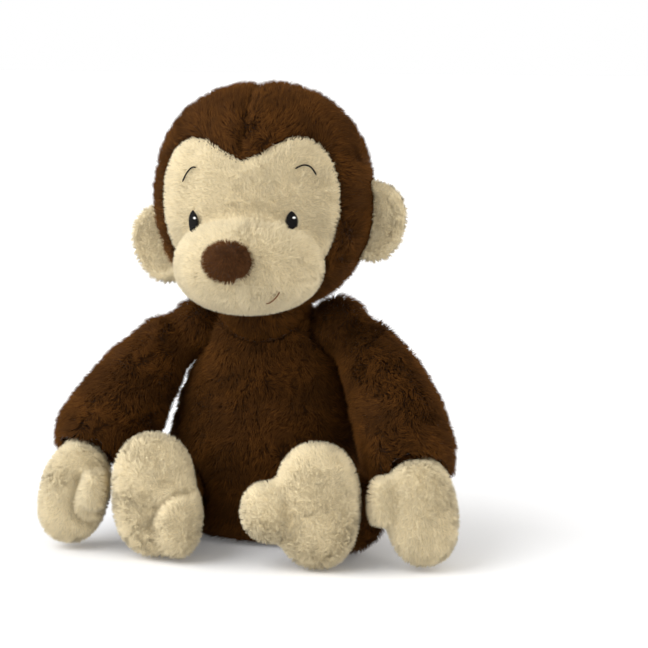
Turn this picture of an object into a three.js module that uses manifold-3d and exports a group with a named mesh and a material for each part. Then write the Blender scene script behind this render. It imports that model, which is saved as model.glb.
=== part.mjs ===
// A seated plush monkey, built the way the toy is sewn: skins cut into panels, a filling inside
// each skin, and soft ball-shaped seams where the head, ears, arms, hands, legs and feet turn.
// Millimetres, +Z up, facing -Y, origin on the floor under the middle of the body.
// "left" and "right" are the monkey's own: its left side is +X.
import * as THREE from "three";
import { mergeVertices } from "three/addons/utils/BufferGeometryUtils.js";
import Module from "manifold-3d";

const wasm = await Module();
wasm.setup();

// ---- driving dimensions -------------------------------------------------------------------
const SEAM_GAP = 0.3; // between panels that are sewn to each other
const FILL_GAP = 1; // between a skin and the filling inside it
const TURN_GAP = 1; // between a soft joint's ball and its socket
const LONG_PILE = 4; // thickness of the brown fabric with its pile
const SHORT_PILE = 3; // thickness of the beige fabric with its pile
const REACH = 400; // longer than the toy, for cutting planes
const FINE = 14; // rings from pole to pole on the head
const MEDIUM = 10; // on the muzzle, hands, feet and ears
const ROUND = 8; // on the balls and sockets of the soft joints
const COARSE = 6; // on hidden fillings

const HEAD = { centre: [2.3, -14, 208], radii: [65.5, 48, 67], fullness: 2.25 };
const HEAD_TILT = THREE.MathUtils.degToRad(1.3); // leans towards the monkey's right
const HEAD_SEAM_Y = -4; // front cap meets the back of the head here
const NECK = { centre: [0, -8, 141], radius: 24 };
const FACE_X = 1.6; // the face is sewn a little off the head's middle
const MUZZLE = { centre: [FACE_X + 1.5, -52, 171.5], radii: [45, 35, 29], fullness: 2.2 };
const NOSE = { centre: [FACE_X - 1, -85, 176.5], radii: [15.5, 8.5, 12], fullness: 2.1 };
const EYE = { spread: 29, height: 195.8, halfWidth: 4, halfHeight: 6.3, rise: 1 };
const GLINT = { radius: 1, across: 1.2, up: 2.6 };
const MOUTH_POINTS = [[28, 160], [25.5, 155.5], [20, 152.5]]; // across and up, on the muzzle's left
const THREAD = 0.55; // radius of the embroidery thread

const EAR = { radii: [24, 6.5, 26.5], fullness: 2.3, y: -14, gap: 2.2 };
const EAR_DISH = { radii: [17, 5, 19], forward: 5.6, outward: 4 };
const EAR_SEAM = 2; // how far behind the ear's middle its front is sewn to its back

const BODY_DEPTH = 0.72; // body depth as a share of its width
const BODY_PROFILE = [[0, 0], [47, 0], [55, 3], [61, 14], [63, 34], [62, 60], [55, 86], [46, 109], [42, 123],
  [36, 135], [18, 140], [0, 140.5]];
const BASE_TOP = 2.6; // the base panel's seam above the floor
const BEAN_BAG_TOP = 30; // beans below, stuffing above
const LABEL = { size: [0.8, 16, 12], centre: [18, 46, 11] };

const SHOULDER_BALL = 17.5;
const HIP_BALL = 15;
const WRIST_BALL = 14;
const ANKLE_BALL = 20;
// bulge: how far the thigh stands outside the ankle; room: the dent around it in the body
const HAND = { radii: [21.5, 16, 32], fullness: 2.4 };
const WRIST_BEND = 8.5; // degrees each way that the sleeve leaves room for
const THUMB = { radii: [8.5, 9, 8.5], bow: 1.5 }; // bow: how far it bends towards the palm
const TOE_FULLNESS = 2.2;
const FOOT = { radii: [25.5, 15.5, 37.5], fullness: 2.4 };
const THIGH = { bulge: 8.5, y: -43, height: 26.5, radii: [24, 18, 24], fullness: 2.2, room: 5 };

const SIDES = [
  {
    name: "right",
    sign: -1,
    ear: { x: -59.5, height: 180, lean: 18 },
    shoulder: [-44, -5, 126],
    armPath: [[-44, -5, 126], [-66.5, -15, 111.5], [-79, -30, 88], [-91, -43.5, 65], [-99.5, -49, 44]],
    armRadii: [15, 20, 25.5, 29.5, 32.5],
    hemHeight: 52,
    wrist: [-101, -56, 53],
    hand: { centre: [-100.5, -71, 34], lean: 15 },
    thumb: { root: [-83.5, -83, 52], tip: [-85.5, -85, 27] },
    hip: [-49, -26, 26],
    ankle: [-46, -61, 30],
    foot: [-47, -82, 38.5],
    toe: { centre: [-31, -87, 28], radii: [16.5, 13.5, 26] },
    browPoints: [[-35, 219], [-32, 226], [-26, 228]],
  },
  {
    name: "left",
    sign: 1,
    ear: { x: 66.5, height: 194, lean: 15 },
    shoulder: [45, -5, 131],
    armPath: [[45, -5, 131], [66.5, -14, 114.5], [83, -29, 92], [95.5, -43, 66], [101, -49, 43]],
    armRadii: [15, 20, 25, 27.5, 30],
    hemHeight: 50,
    wrist: [105.5, -54, 52],
    hand: { centre: [109, -66, 34], lean: 8 },
    thumb: { root: [89.5, -75, 56], tip: [88, -75, 26] },
    hip: [50, -26, 26],
    ankle: [50, -61, 30],
    foot: [51.5, -82, 38],
    toe: { centre: [25, -88, 34], radii: [18, 13, 18.5] },
    browPoints: [[33, 227], [38, 229.5], [44, 223]],
  },
];

// ---- materials ----------------------------------------------------------------------------
const cloth = (color, roughness = 0.95) => new THREE.MeshStandardMaterial({ color, roughness, metalness: 0 });
const MATERIALS = {
  brown: cloth(0x4a2813),
  beige: cloth(0xd9b78d),
  nose: cloth(0x3a1a0e),
  black: cloth(0x0d0b0a, 0.6),
  white: cloth(0xf4f2ee, 0.6),
  filling: cloth(0xeeeae2),
  beans: cloth(0xcfc9be, 0.7),
  label: cloth(0xf2efe8, 0.8),
};

// ---- solids: three.js geometry in and out of manifold-3d ----------------------------------
function toSolid(geometry) {
  const bare = geometry.clone();
  bare.deleteAttribute("normal");
  bare.deleteAttribute("uv");
  const merged = mergeVertices(bare, 1e-4);
  return new wasm.Manifold(new wasm.Mesh({
    numProp: 3,
    vertProperties: new Float32Array(merged.attributes.position.array),
    triVerts: new Uint32Array(merged.index.array),
  }));
}

// A cut can leave crumbs where two facets nearly touch, so only the largest body is kept.
function toGeometry(solid) {
  const [largest] = solid.decompose().sort((one, other) => other.volume() - one.volume());
  const mesh = largest.getMesh();
  const geometry = new THREE.BufferGeometry();
  geometry.setAttribute("position", new THREE.BufferAttribute(new Float32Array(mesh.vertProperties), 3));
  geometry.setIndex(new THREE.BufferAttribute(new Uint32Array(mesh.triVerts), 1));
  geometry.computeVertexNormals();
  return geometry;
}

// A pillow: an ellipsoid whose sides fill out towards a box as fullness rises above 2.
function pillow({ centre, radii, fullness = 2 }, grow = 0, rings = MEDIUM) {
  const geometry = new THREE.SphereGeometry(1, Math.round(rings * 1.5), rings);
  geometry.rotateX(Math.PI / 2);
  const place = geometry.attributes.position;
  for (let i = 0; i < place.count; i += 1) {
    const way = [place.getX(i), place.getY(i), place.getZ(i)];
    const sum = way.reduce((total, part) => total + Math.abs(part) ** fullness, 0);
    const stretch = sum ** (-1 / fullness);
    const [x, y, z] = way.map((part, k) => centre[k] + part * stretch * (radii[k] + grow));
    place.setXYZ(i, x, y, z);
  }
  return toSolid(geometry);
}

const ball = (centre, radius, rings = ROUND) => pillow({ centre, radii: [radius, radius, radius] }, 0, rings);

// A soft tube along a route, closed by round ends: its radius follows a second list of values.
function softTube(points, radii, grow = 0, around = 12, along = 7) {
  const route = new THREE.CatmullRomCurve3(points.map((point) => new THREE.Vector3(...point)));
  const girth = new THREE.SplineCurve(radii.map((radius, i) => new THREE.Vector2(i, radius + grow)));
  const geometry = new THREE.SphereGeometry(1, around, along);
  const place = geometry.attributes.position;
  const endRoundness = 5;
  const inset = -grow / route.getLength();
  for (let i = 0; i < place.count; i += 1) {
    const level = THREE.MathUtils.clamp(place.getY(i), -1, 1);
    const share = THREE.MathUtils.clamp(THREE.MathUtils.lerp(inset, 1 - inset, (1 - level) / 2), 0, 1);
    const centre = route.getPointAt(share);
    const ahead = route.getTangentAt(share);
    const side = new THREE.Vector3(0, 1, 0).cross(ahead).normalize();
    const over = ahead.clone().cross(side);
    const radius = girth.getPoint(share).y * (1 - Math.abs(level) ** endRoundness) ** (1 / endRoundness);
    const turn = Math.atan2(place.getZ(i), place.getX(i));
    centre.addScaledVector(side, radius * Math.cos(turn)).addScaledVector(over, radius * Math.sin(turn));
    place.setXYZ(i, centre.x, centre.y, centre.z);
  }
  return toSolid(geometry);
}

// Everything on the positive side of a plane across one axis ("x", "y" or "z").
function beyond(axis, value) {
  const geometry = new THREE.BoxGeometry(2 * REACH, 2 * REACH, 2 * REACH);
  const shift = { x: 0, y: 0, z: 0, [axis]: value + REACH };
  return toSolid(geometry.translate(shift.x, shift.y, shift.z));
}

// Two panels sewn along a plane, with the seam's gap between them: [below, above].
function sewnAcross(solid, axis, value) {
  const below = solid.subtract(beyond(axis, value - SEAM_GAP / 2));
  const above = solid.intersect(beyond(axis, value + SEAM_GAP / 2));
  return [below, above];
}

// ---- the scene graph ----------------------------------------------------------------------
const monkey = new THREE.Group();

function addMesh(group, name, material, solid) {
  const mesh = new THREE.Mesh(toGeometry(solid), material);
  mesh.name = name;
  group.add(mesh);
  return mesh;
}

// The head's own group turns about the neck, so its pieces are shifted back by the neck's place.
const head = new THREE.Group();
head.position.set(...NECK.centre);
head.rotation.y = -HEAD_TILT;
monkey.add(head);
const addHeadMesh = (name, material, solid) => {
  const mesh = addMesh(head, name, material, solid);
  mesh.position.set(...NECK.centre.map((value) => -value));
};

// ---- head: two front caps, two back panels, face, muzzle, nose and filling -----------------
const headOuter = pillow(HEAD, 0, FINE);
const headInner = pillow(HEAD, -LONG_PILE, ROUND);
const headClear = pillow(HEAD, SEAM_GAP, FINE);
const neckSocket = ball(NECK.centre, NECK.radius + TURN_GAP);
const muzzleOuter = pillow(MUZZLE);
const muzzleInner = pillow(MUZZLE, -SHORT_PILE, COARSE);
const muzzleClear = pillow(MUZZLE, SEAM_GAP);

// Half of the heart-shaped hairline, as distance from the face's middle and height.
const HAIRLINE = [[0, 231.5], [10, 236], [23, 243.5], [36, 245], [46.5, 238], [53, 225], [55, 207], [53, 190],
  [47, 176], [38, 166]];

const FACE_MIDDLE_HEIGHT = 200;
const FACE_REACH = 50; // from the face's middle to its edge, on average
const FACE_FRONT = 12; // the face starts this far in front of the head's middle

// The face's outline, as a block that reaches forward from the middle of the head.
function faceBlock(grow) {
  const wider = 1 + grow / FACE_REACH;
  const half = HAIRLINE.map(([across, up]) => [
    across * wider,
    FACE_MIDDLE_HEIGHT + (up - FACE_MIDDLE_HEIGHT) * wider,
  ]);
  const onRight = half.slice(1).map(([across, up]) => new THREE.Vector2(FACE_X + across, up));
  const onLeft = half.slice(1).map(([across, up]) => new THREE.Vector2(FACE_X - across, up)).reverse();
  const outline = new THREE.Shape();
  outline.moveTo(FACE_X, half[0][1]);
  outline.splineThru(onRight);
  outline.lineTo(onLeft[0].x, onLeft[0].y);
  outline.splineThru(onLeft.slice(1));
  outline.closePath();
  const settings = { depth: REACH / 2, bevelEnabled: false, curveSegments: 3 };
  const geometry = new THREE.ExtrudeGeometry(outline, settings);
  return toSolid(geometry.rotateX(Math.PI / 2).translate(0, HEAD.centre[1] - FACE_FRONT, 0));
}

function addHeadSkin() {
  const skin = headOuter.subtract(headInner).subtract(neckSocket).subtract(muzzleClear);
  const [front, back] = sewnAcross(skin, "y", HEAD_SEAM_Y);
  const [crownRight, crownLeft] = sewnAcross(front.subtract(faceBlock(SEAM_GAP)), "x", FACE_X);
  const [backRight, backLeft] = sewnAcross(back, "x", HEAD.centre[0]);
  addHeadMesh("head_crown_right", MATERIALS.brown, crownRight);
  addHeadMesh("head_crown_left", MATERIALS.brown, crownLeft);
  addHeadMesh("head_back_right", MATERIALS.brown, backRight);
  addHeadMesh("head_back_left", MATERIALS.brown, backLeft);
  addHeadMesh("face_panel", MATERIALS.beige, front.intersect(faceBlock(0)));
}

function addMuzzle() {
  const nose = pillow(NOSE, 0, 10).subtract(muzzleClear);
  const skin = muzzleOuter.subtract(muzzleInner).subtract(headClear);
  addHeadMesh("muzzle_panel", MATERIALS.beige, skin);
  addHeadMesh("nose_pad", MATERIALS.nose, nose);
}

function addHeadFilling() {
  const inHead = pillow(HEAD, -LONG_PILE - FILL_GAP, ROUND);
  const inMuzzle = pillow(MUZZLE, -SHORT_PILE - FILL_GAP, COARSE);
  addHeadMesh("head_stuffing", MATERIALS.filling, inHead.add(inMuzzle).subtract(neckSocket));
}

// How far forward the head or the muzzle reaches at a point of the face.
function frontOf({ centre, radii, fullness }, x, z) {
  const across = Math.abs((x - centre[0]) / radii[0]) ** fullness;
  const up = Math.abs((z - centre[2]) / radii[2]) ** fullness;
  const share = 1 - across - up;
  return centre[1] - radii[1] * Math.max(share, 0) ** (1 / fullness);
}

function addEye(side) {
  const x = FACE_X + side.sign * EYE.spread;
  const y = frontOf(HEAD, x, EYE.height);
  const eyeRadii = [EYE.halfWidth, EYE.rise + SEAM_GAP, EYE.halfHeight];
  const eyeShape = { centre: [x, y, EYE.height], radii: eyeRadii };
  const glintAt = [x + GLINT.across, y - EYE.rise, EYE.height + GLINT.up];
  const eyeRoom = pillow(eyeShape, SEAM_GAP / 2, COARSE).add(muzzleClear);
  const glint = ball(glintAt, GLINT.radius, 4).subtract(eyeRoom);
  const eye = pillow(eyeShape, 0, COARSE).subtract(headClear).subtract(muzzleClear);
  addHeadMesh(`eye_${side.name}`, MATERIALS.black, eye);
  addHeadMesh(`eye_glint_${side.name}`, MATERIALS.white, glint);
}

// An embroidered line on the face or the muzzle, through points given as across and up.
function stitchedLine(points, surface) {
  const lift = THREAD + 2 * SEAM_GAP;
  const route = points.map(([x, z]) => [x, frontOf(surface, x, z) - lift, z]);
  return softTube(route, [THREAD, THREAD, THREAD], 0, 6, 8);
}

function addFaceThreads() {
  for (const side of SIDES) {
    const brow = stitchedLine(side.browPoints, HEAD).subtract(headClear);
    addHeadMesh(`brow_${side.name}`, MATERIALS.black, brow);
  }
  addHeadMesh("mouth_stitch", MATERIALS.nose, stitchedLine(MOUTH_POINTS, MUZZLE).subtract(muzzleClear));
}

// ---- ears: a dished front and a plain back -------------------------------------------------
function addEar(side) {
  const centre = [side.ear.x, EAR.y, side.ear.height];
  const headRoom = pillow(HEAD, EAR.gap, FINE);
  const disc = pillow({ centre: [0, 0, 0], radii: EAR.radii, fullness: EAR.fullness }, 0, ROUND);
  const dishCentre = [side.sign * EAR_DISH.outward, -EAR_DISH.forward, 0];
  const dish = pillow({ centre: dishCentre, radii: EAR_DISH.radii }, 0, COARSE);
  const leaning = disc.subtract(dish).rotate([0, side.sign * side.ear.lean, 0]);
  const dished = leaning.translate(centre).subtract(headRoom);
  const [front, back] = sewnAcross(dished, "y", EAR.y + EAR_SEAM);
  addHeadMesh(`ear_${side.name}_front`, MATERIALS.beige, front);
  addHeadMesh(`ear_${side.name}_back`, MATERIALS.beige, back);
}

// ---- neck and body --------------------------------------------------------------------------
function bodySolid(grow, around = 12) {
  const last = BODY_PROFILE.length - 1;
  const profile = BODY_PROFILE.map(([radius, height], i) => {
    const width = i === 0 || i === last ? 0 : Math.max(radius + grow, 1);
    const up = height + grow * (2 * (height / BODY_PROFILE[last][1]) - 1);
    return new THREE.Vector2(width, up);
  });
  const geometry = new THREE.LatheGeometry(profile, around);
  geometry.rotateX(Math.PI / 2).scale(1, BODY_DEPTH, 1);
  return toSolid(geometry);
}

function bodySockets() {
  const balls = SIDES.flatMap((side) => [
    ball(side.shoulder, SHOULDER_BALL + TURN_GAP),
    ball(side.hip, HIP_BALL + TURN_GAP),
    thighSolid(side, THIGH.room, ROUND),
  ]);
  return balls.reduce((all, one) => all.add(one), neckSocket);
}

function addBody() {
  const sockets = bodySockets();
  const skin = bodySolid(0, 24).subtract(bodySolid(-LONG_PILE)).subtract(sockets);
  const [base, sides] = sewnAcross(skin, "z", BASE_TOP);
  const [front, back] = sewnAcross(sides, "y", 0);
  const [backRight, backLeft] = sewnAcross(back, "x", 0);
  addMesh(monkey, "torso_base", MATERIALS.brown, base);
  addMesh(monkey, "torso_front", MATERIALS.brown, front);
  addMesh(monkey, "torso_back_right", MATERIALS.brown, backRight);
  addMesh(monkey, "torso_back_left", MATERIALS.brown, backLeft);
  const filling = bodySolid(-LONG_PILE - FILL_GAP).subtract(sockets);
  const [beans, stuffing] = sewnAcross(filling, "z", BEAN_BAG_TOP);
  addMesh(monkey, "seat_bean_bag", MATERIALS.beans, beans);
  addMesh(monkey, "torso_stuffing", MATERIALS.filling, stuffing);
  addMesh(monkey, "neck_plug", MATERIALS.brown, ball(NECK.centre, NECK.radius));
}

// A blank label caught in the seam between the base and the back.
function addLabel() {
  const geometry = new THREE.BoxGeometry(...LABEL.size).translate(...LABEL.centre);
  const label = toSolid(geometry).subtract(bodySolid(SEAM_GAP, 24));
  addMesh(monkey, "care_label", MATERIALS.label, label);
}

// ---- arms and hands -------------------------------------------------------------------------
function palmSolid(side, grow, rings) {
  const palm = pillow({ ...HAND, centre: [0, 0, 0] }, grow, rings);
  return palm.rotate([0, side.sign * -side.hand.lean, 0]).translate(side.hand.centre);
}

function handSolid(side, grow) {
  const { root, tip } = side.thumb;
  const middle = root.map((value, k) => (value + tip[k]) / 2);
  middle[0] -= side.sign * THUMB.bow;
  const thumb = softTube([root, middle, tip], THUMB.radii, grow, 8, 6);
  return palmSolid(side, grow, MEDIUM).add(thumb);
}

function armSolid(side, grow) {
  const root = ball(side.shoulder, SHOULDER_BALL + grow);
  return softTube(side.armPath, side.armRadii, grow).add(root);
}

// The hand at both ends of the wrist's bend, and between them.
function handSweep(side) {
  const hand = handSolid(side, TURN_GAP).translate(side.wrist.map((value) => -value));
  const bent = [-WRIST_BEND, WRIST_BEND].map((angle) => hand.rotate([angle, 0, 0]));
  return hand.add(bent[0]).add(bent[1]).translate(side.wrist);
}

// The sleeve stops at the hem and leaves room for the hand and for the wrist's ball.
function addArm(side) {
  const wristRoom = ball(side.wrist, WRIST_BALL + TURN_GAP).add(handSweep(side));
  const cutAtHem = (solid) => solid.intersect(beyond("z", side.hemHeight)).subtract(wristRoom);
  const wad = ball(side.shoulder, SHOULDER_BALL - LONG_PILE - FILL_GAP);
  const wadRoom = ball(side.shoulder, SHOULDER_BALL - LONG_PILE);
  const sleeve = cutAtHem(armSolid(side, 0).subtract(armSolid(side, -LONG_PILE)));
  const filling = cutAtHem(armSolid(side, -LONG_PILE - FILL_GAP).subtract(wadRoom));
  addMesh(monkey, `arm_${side.name}_sleeve`, MATERIALS.brown, sleeve);
  addMesh(monkey, `shoulder_${side.name}_wad`, MATERIALS.filling, wad);
  addMesh(monkey, `arm_${side.name}_stuffing`, MATERIALS.filling, filling);
}

function addHand(side) {
  const wristBall = ball(side.wrist, WRIST_BALL);
  const palmRoom = (grow) => palmSolid(side, grow, COARSE).subtract(beyond("z", side.wrist[2] + grow));
  const outer = handSolid(side, 0).add(wristBall);
  const [front, back] = sewnAcross(outer.subtract(palmRoom(-SHORT_PILE)), "y", side.hand.centre[1]);
  addMesh(monkey, `hand_${side.name}_front`, MATERIALS.beige, front);
  addMesh(monkey, `hand_${side.name}_back`, MATERIALS.beige, back);
  addMesh(monkey, `hand_${side.name}_stuffing`, MATERIALS.filling, palmRoom(-SHORT_PILE - FILL_GAP));
}

// ---- legs and feet --------------------------------------------------------------------------
function footSolid(side, grow, rings) {
  const sole = { ...FOOT, centre: side.foot };
  const toe = { ...side.toe, fullness: TOE_FULLNESS };
  return pillow(sole, grow, rings).add(pillow(toe, grow, COARSE));
}

// The thigh is one short pillow that stands a little outside the line from hip to ankle.
function thighSolid(side, grow, rings) {
  const centre = [side.ankle[0] + side.sign * THIGH.bulge, THIGH.y, THIGH.height];
  return pillow({ ...THIGH, centre }, grow, rings);
}

function addLeg(side) {
  const ends = ball(side.hip, HIP_BALL).add(ball(side.ankle, ANKLE_BALL));
  const skin = thighSolid(side, 0, MEDIUM).add(ends).subtract(thighSolid(side, -LONG_PILE, COARSE));
  const [lower, upper] = sewnAcross(skin, "z", THIGH.height);
  addMesh(monkey, `leg_${side.name}_top`, MATERIALS.brown, upper);
  addMesh(monkey, `leg_${side.name}_bottom`, MATERIALS.brown, lower);
  const filling = thighSolid(side, -LONG_PILE - FILL_GAP, COARSE);
  addMesh(monkey, `leg_${side.name}_stuffing`, MATERIALS.filling, filling);
}

function addFoot(side) {
  const socket = ball(side.ankle, ANKLE_BALL + TURN_GAP);
  const skin = footSolid(side, 0, MEDIUM).subtract(footSolid(side, -SHORT_PILE, COARSE)).subtract(socket);
  const [sole, upper] = sewnAcross(skin, "y", side.foot[1]);
  addMesh(monkey, `foot_${side.name}_sole`, MATERIALS.beige, sole);
  addMesh(monkey, `foot_${side.name}_upper`, MATERIALS.beige, upper);
  const filling = footSolid(side, -SHORT_PILE - FILL_GAP, COARSE).subtract(socket);
  addMesh(monkey, `foot_${side.name}_stuffing`, MATERIALS.filling, filling);
}

addHeadSkin();
addMuzzle();
addHeadFilling();
addFaceThreads();
addBody();
addLabel();
for (const side of SIDES) {
  addEye(side);
  addEar(side);
  addArm(side);
  addHand(side);
  addLeg(side);
  addFoot(side);
}

export default monkey;
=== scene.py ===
"""A seated plush monkey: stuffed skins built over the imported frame, with a pile of real strands,
embroidered eyes, brows and mouth, and sewn seams. Metres, in the frame of the CAD model.
"left" and "right" are the monkey's own, as in the CAD model: its left side is +X."""

import math

import bpy
import numpy as np
from mathutils import Matrix, Vector
from mathutils.bvhtree import BVHTree
from mathutils.kdtree import KDTree


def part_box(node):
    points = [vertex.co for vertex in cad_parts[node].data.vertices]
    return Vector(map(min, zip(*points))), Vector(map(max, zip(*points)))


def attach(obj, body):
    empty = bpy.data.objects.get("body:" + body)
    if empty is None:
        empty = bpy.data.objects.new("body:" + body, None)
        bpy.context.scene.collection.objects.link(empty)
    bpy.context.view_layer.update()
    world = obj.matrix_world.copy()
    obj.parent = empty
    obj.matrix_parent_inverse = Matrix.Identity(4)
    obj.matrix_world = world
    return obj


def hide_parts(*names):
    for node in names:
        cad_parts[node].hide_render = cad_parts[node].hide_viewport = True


MM = 0.001
TINY = 1e-9  # the least length to divide by
SIDES = ("right", "left")
SIGN = {"right": -1, "left": 1}

# ---- constants: camera, floor and light (degrees, metres, and mm of lens) ------------------------
CAMERA = dict(azimuth=16.0, elevation=8.0, distance=1.2, lens=109.3, look_height=0.140)
AIM_RIGHT = math.radians(1.572)  # the toy sits left of the picture's middle
AIM_UP = math.radians(-0.524)
FLOOR_HALF = 12.0
FLOOR_COLOR = (0.93, 0.93, 0.935)
FLOOR_ROUGHNESS = 0.9
FLOOR_SPECULAR = 0.1
FLOOR_GLOW = 0.07  # light that the white studio throws back on its floor
WORLD_LIGHT = 0.76
SUNS = {
    "key": dict(azimuth=-52.0, elevation=38.0, strength=2.3, spread=60.0, color=(0.975, 0.985, 1.0)),
    "fill": dict(azimuth=95.0, elevation=28.0, strength=0.7, spread=50.0, color=(1.0, 0.93, 0.80)),
}

# ---- constants: colours and cloth ----------------------------------------------------------------
BROWN = (0.079, 0.029, 0.0044)
BEIGE = (0.89, 0.755, 0.495)
NOSE = (0.105, 0.042, 0.014)
BLACK = (0.006, 0.005, 0.005)
WHITE = (0.85, 0.84, 0.81)
MOUTH = (0.16, 0.075, 0.035)
TAPE = (0.80, 0.78, 0.72)
COLORS = {"brown": BROWN, "beige": BEIGE, "nose": NOSE}
CLOTH_ROUGHNESS = 0.95
CLOTH_SPECULAR = 0.12
CLOTH_SHEEN = 0.3
FINE_DETAIL = 4  # octaves of the fine noise
FINE_SHARE = 0.6  # of the fine noise that is added to the broad one
BROAD_NOISE_MM = 18
DARK_UP_TO = 0.55  # the sum of the noises up to which cloth is dark; at 1 it is light
# the cloth under the pile, darker than the pile as painted shade at the bottom of the pile and mottled at
# random; dark and light are shares of the colour; the grain and its bump are in mm
BACKINGS = {
    "brown": dict(dark=0.35, light=0.7, grain_mm=1.2, bump_mm=0.3),
    "beige": dict(dark=0.8, light=0.9, grain_mm=1.2, bump_mm=0.3),
    "nose": dict(dark=0.5, light=0.9, grain_mm=1.0, bump_mm=0.2),
}
THREAD_LOOKS = {
    "black": dict(color=BLACK, dark=0.7, light=1.3, roughness=0.6),
    "white": dict(color=WHITE, dark=0.9, light=1.0, roughness=0.45),
    "mouth": dict(color=MOUTH, dark=0.7, light=1.2, roughness=0.6),
}
THREAD_GRAIN_MM = 0.4
THREAD_BUMP_MM = 0.1
TAPE_LOOK = dict(color=TAPE, dark=0.85, light=1.0, grain_mm=0.35, bump_mm=0.08, roughness=0.8)

# ---- constants: stuffed skins --------------------------------------------------------------------
HEAD_PANELS = ["head_crown_right", "head_crown_left", "head_back_right", "head_back_left", "face_panel",
               "muzzle_panel"]
FIRM_SKINS = ("neck", "nose")  # too small or firm to puff
SMOOTH_FACTOR = 0.5
CLOTH_FRAMES = 14
CLOTH_PRESSURE = 4.0
CLOTH_CAP_MM = 2.5
CREASE_WIDTH_MM = 4.0
SINK = {"brown": 3.2, "beige": 1.6, "nose": 1.2}  # mm from the CAD surface down to the backing cloth
SINK_BLEND_ROUNDS = 3
# how deep a seam draws the skin in, in mm, by the two coats that it joins
SEAM_DEPTH = {
    ("brown", "brown"): 2.6,
    ("beige", "brown"): 1.4,
    ("beige", "beige"): 0.8,
    ("nose", "nose"): 0.0,
}
STITCH_DEPTH = 0.9  # mm, of a line sewn through one panel
NOTHING_NEAR = 1.0  # the distance in metres that stands for "no seam at all"
LOOK_FROM_Y = -1.0  # in front of the toy
LOOK_NUDGES_MM = (0, 0.6, -0.6, 1.2, -1.2)
CHIN_DART = [(0.0015, 0.163), (0.002, 0.156), (0.0025, 0.149)]  # x, z
DART_STEPS = 12
EAR_RING = 0.66  # of the ear's half size
EAR_RING_POINTS = 61
EAR_TUCK_MM = 3.4
CUFF_TUCK_MM = 4.0
TUCK_REACH_MM = 8.0
# in metres, but for its depth, and for its rise to each side, which is a slope
BELLY_FOLD = dict(height=0.089, half_width=0.042, depth_mm=2.2, width=0.006, rise=0.12)
FOLD_WIDTH_MM = 2.6
CREASE_STEPS = 40
TOE_CREASE = dict(
    route=[(-0.021, 0.043, 0), (-0.036, 0.038, 0), (-0.046, 0.020, 0)], deepest_mm=3.0, front_y=-0.085
)
THUMB_CREASE = dict(
    route=[(-0.092, 0.047, 0), (-0.0955, 0.024, 0), (-0.079, 0.016, 0)], deepest_mm=3.2, front_y=-0.075
)

# ---- constants: pile -----------------------------------------------------------------------------
# length and width in mm, density per square mm, lean in degrees from upright, clump size in mm;
# swirl turns strands off their brushing, gather draws them to their clump's middle, and sections
# is how many parts a strand has along its length
COATS = {
    "brown": dict(
        length=7.6, width=0.40, density=2.3, lean=42, swirl=0.8, clump=4.2, gather=0.38, sections=2
    ),
    "beige": dict(
        length=3.2, width=0.33, density=4.0, lean=22, swirl=0.65, clump=2.5, gather=0.7, sections=1
    ),
    "nose": dict(
        length=3.3, width=0.34, density=4.2, lean=24, swirl=0.7, clump=2.2, gather=0.45, sections=1
    ),
}
# shades of the pile as shares of its colour, in the order of SHADE_NAMES; the root shade, on a strand's root
# and lower sections, is painted shade deep in the pile, and the other three differ at random
PILE_SHADES = {
    "brown": (0.6, 0.72, 1.0, 1.5),
    "beige": (0.78, 0.89, 1.0, 1.08),
    "nose": (0.6, 0.8, 1.0, 1.35),
}
SHADE_NAMES = ("root", "dark", "middle", "light")
SHEEN = {"brown": 0.4, "beige": 0.12, "nose": 0.3}
PILE_ROUGHNESS = 0.8
PILE_SPECULAR = 0.1
PILE_SHEEN_ROUGHNESS = 0.5
PILE_SHEEN_GAIN = 2  # the sheen's brightness against the strand's
STRANDS_A_PIECE = {1: 48000, 2: 15500}  # by sections, so that no piece passes 200,000 triangles
SEED_STEP = 100  # between skins; the seeds below are added to a skin's own
WAVE_COUNT = 7
WAVE_RATES = (0.6, 1.6)  # the slowest and the fastest wave, against the size asked for
SWIRL_SEED = 1
SWIRL_MM = 30
RUFFLE_SEED = 4
RUFFLE_MM = 10
RUFFLE_SHARE = 0.6  # of the swirl's strength
LEAN_SEED = 7
LEAN_WAVE_MM = 14
LEAN_WAVE = 0.14  # of the lean
LEAN_CHANCE = 0.14  # radians
STRAY_CHANCE = 0.09  # of a strand's length
TRAPPED_MM = 2.2
TRAPPED_SHARE = 0.45  # of its length that a strand loses in a seam
LENGTH_VARIES = (0.8, 0.3)  # the least share, and what chance adds to it
WIDTH_VARIES = (0.8, 0.4)
GATHER_LEAST = 0.5
GATHER_SPREAD = 0.7
FLOOR_CLEARANCE_MM = 0.3
TONE_SEED = 9
TONE_WAVE_MM = 34
TONE_WAVE = 0.22
TONE_CLUMP = 0.45
TONE_BASE = 0.3
TONE_CHANCE = 0.25
TONE_STEPS = (0.3, 0.78)  # where the dark tips end and the light ones begin
WARP_SEED = 11
WARP_CELLS = 4  # size of the warp of the clumps' grid, in clumps
WARP_SHARE = 0.6  # how far it shifts the grid, in clumps
CELL_EDGE = 0.1  # a clump's centre keeps this far from its cell's sides
HASH_FACTORS = (73856093, 19349663, 83492791)  # large primes, to mix a cell's three numbers
JITTER_FACTORS = (31, 57, 91)
JITTER_STEPS = 10007
CHANCE_FACTOR = 17
CHANCE_STEPS = 1009
STRAND_SIDES = 3
STRAND_BEND = 0.42  # how far out a strand turns, as a share of its length
STRAND_TAPER = 0.25
NORMAL_SKIN_SHARE = 0.8  # a strand is shaded mostly as the skin under it, and partly as itself
NORMAL_OWN_SHARE = 0.4
OFF_AXIS = (0.013, 0.029, 0.017)  # keeps an upright strand's axis off its skin's normal

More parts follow.
